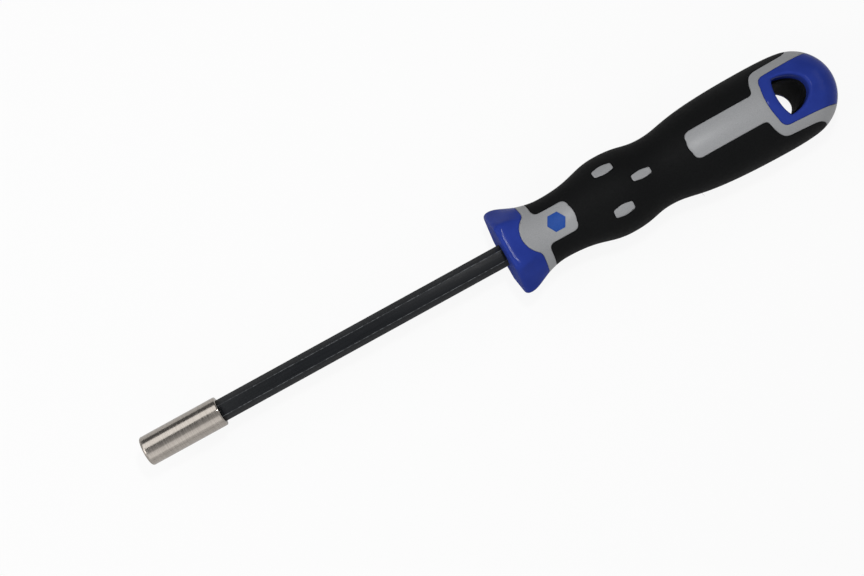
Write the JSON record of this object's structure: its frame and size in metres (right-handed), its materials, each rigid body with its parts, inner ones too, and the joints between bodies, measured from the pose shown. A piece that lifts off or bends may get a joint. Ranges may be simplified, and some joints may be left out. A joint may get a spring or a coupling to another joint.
{
  "type": "bit holder",
  "caption": "Bit-holding screwdriver: magnetic hex socket sleeve on a dark hex bar, in a moulded handle with a soft grip, a flared anti-roll collar and a hanging hole in its end.",
  "frame": {"origin": "centre of the bit's seat, the magnet's front face at the bottom of the hex socket, on the tool's axis", "axes": "+X along the tool from the socket's mouth to the handle's end, +Z out of the handle's printed face, +Y across the handle"},
  "size_m": [0.2443, 0.0296, 0.0296],
  "materials": {
    "black_bar": "black oxide, satin",
    "bright_steel": "satin, drawn lengthwise",
    "magnet_plate": "plated",
    "blue_plastic": "semi-gloss moulded",
    "grey_plastic": "satin moulded",
    "grip_rubber": "soft matte",
    "core_plastic": "plain moulded",
    "symbol_blue": "satin moulded"
  },
  "bodies": {
    "root": {"hex_shank": "black_bar", "bit_sleeve": "bright_steel", "socket_magnet": "magnet_plate", "retaining_ring": "bright_steel", "front_collar": "blue_plastic", "handle_core": "core_plastic", "grey_shell": "grey_plastic", "soft_grip": "grip_rubber", "end_cap": "blue_plastic", "drive_symbol_face": "symbol_blue", "drive_symbol_back": "symbol_blue"}
  },
  "joints": []
}
